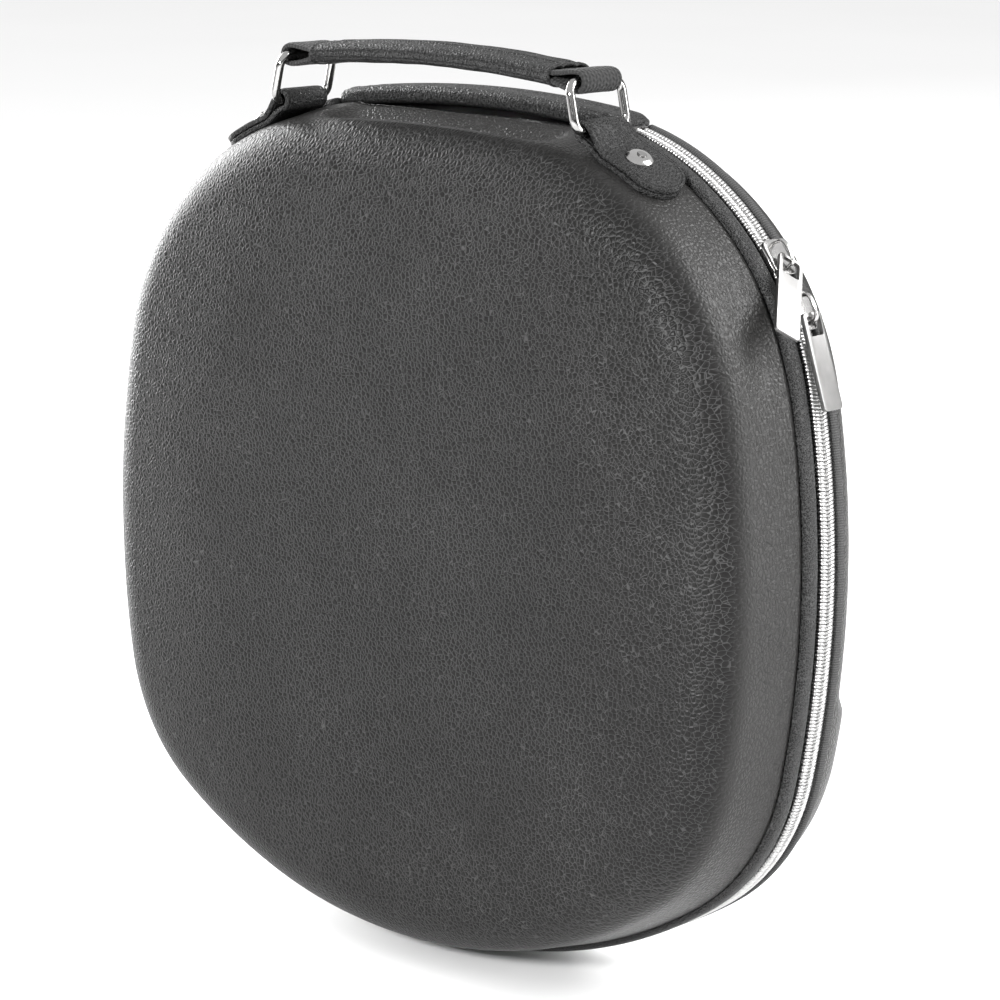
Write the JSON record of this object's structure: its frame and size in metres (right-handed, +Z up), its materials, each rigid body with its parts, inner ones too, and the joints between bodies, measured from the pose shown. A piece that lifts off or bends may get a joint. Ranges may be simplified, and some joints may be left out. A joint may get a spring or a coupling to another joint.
{
  "type": "headphone carrying case",
  "caption": "Hard zipped case for headphones: two moulded leatherette shells on a top hinge strip, coil zip with two pulls, and a padded handle on riveted steel rings.",
  "frame": {"origin": "on the ground, under the middle of the case", "axes": "+Z up through the handle, -Y out of the front face, +X towards the zip pulls"},
  "size_m": [0.2816, 0.0826, 0.2986],
  "materials": {
    "leatherette": "pebbled semi-matt PU leatherette",
    "eva_core": "dense EVA foam board",
    "lining": "short nap velour",
    "binding": "rolled fine-grain edge binding",
    "zip_tape": "ribbed woven tape",
    "zip_coil": "metallised silver coil",
    "hinge_leather": "padded leatherette strip",
    "tab_leather": "folded leatherette with painted edge",
    "polished_steel": "polished",
    "rivet_nickel": "polished nickel",
    "slider_nickel": "die-cast, nickel plated",
    "webbing": "ribbed woven webbing",
    "foam": "soft foam",
    "mesh": "stretch mesh",
    "foot_rubber": "matt"
  },
  "bodies": {
    "front_half": {"front_shell_skin": "leatherette", "front_shell_core": "eva_core", "front_shell_lining": "lining", "front_rim_binding": "binding", "front_zip_tape": "zip_tape", "front_zip_coil": "zip_coil", "front_zip_stops": "slider_nickel", "front_hinge_leaf": "hinge_leather", "right_handle_tab": "tab_leather", "left_handle_tab": "tab_leather", "rivet_caps": "rivet_nickel", "rivet_posts": "rivet_nickel", "rivet_washers": "rivet_nickel", "headphone_cradle": "foam"},
    "back_half": {"back_shell_skin": "leatherette", "back_shell_core": "eva_core", "back_shell_lining": "lining", "back_rim_binding": "binding", "back_zip_tape": "zip_tape", "back_zip_coil": "zip_coil", "back_zip_stops": "slider_nickel", "back_hinge_leaf": "hinge_leather", "pocket_mesh": "mesh", "pocket_binding": "binding", "back_feet": "foot_rubber"},
    "left_ring": {"left_ring": "polished_steel"},
    "right_ring": {"right_ring": "polished_steel"},
    "handle": {"handle_webbing": "webbing", "handle_grip_wrap": "tab_leather", "handle_padding": "foam"},
    "upper_slider": {"upper_slider": "slider_nickel"},
    "lower_slider": {"lower_slider": "slider_nickel"},
    "upper_pull": {"upper_pull": "slider_nickel"},
    "lower_pull": {"lower_pull": "slider_nickel"}
  },
  "joints": [
    {"name": "shell_hinge", "type": "hinge", "parent": "front_half", "child": "back_half", "pos_m": [0, 0.00875, 0.2865], "axis": [1, 0, 0], "range_deg": [0, 100]},
    {"name": "left_ring_swing", "type": "hinge", "parent": "front_half", "child": "left_ring", "pos_m": [-0.06435, -0.01325, 0.27915], "axis": [0, 1, 0], "range_deg": [-18, 18]},
    {"name": "handle_swing", "type": "hinge", "parent": "left_ring", "child": "handle", "pos_m": [-0.06086, -0.01325, 0.29425], "axis": [0, 1, 0], "range_deg": [-20, 20]},
    {"name": "right_ring_swing", "type": "hinge", "parent": "front_half", "child": "right_ring", "pos_m": [0.06435, -0.01325, 0.27915], "axis": [0, 1, 0], "range_deg": [-18.5, 18.5]},
    {"name": "upper_slider_travel", "type": "hinge", "parent": "front_half", "child": "upper_slider", "pos_m": [0.03759, 0.00875, 0.18268], "axis": [0, 1, 0], "range_deg": [-33, 0]},
    {"name": "lower_slider_travel", "type": "hinge", "parent": "front_half", "child": "lower_slider", "pos_m": [0.03759, 0.00875, 0.18268], "axis": [0, 1, 0], "range_deg": [0, 15]},
    {"name": "upper_pull_flip", "type": "hinge", "parent": "upper_slider", "child": "upper_pull", "pos_m": [0.12058, 0.01012, 0.24253], "axis": [-0.3722, -0.788, 0.4904], "range_deg": [0, 90]},
    {"name": "lower_pull_flip", "type": "hinge", "parent": "lower_slider", "child": "lower_pull", "pos_m": [0.12981, 0.00875, 0.22698], "axis": [0, -1, 0], "range_deg": [0, 150]}
  ],
  "couplings": [
    {"joint": "handle_swing", "follows": "left_ring_swing", "ratio": -1.06},
    {"joint": "right_ring_swing", "follows": "left_ring_swing", "ratio": 1}
  ]
}
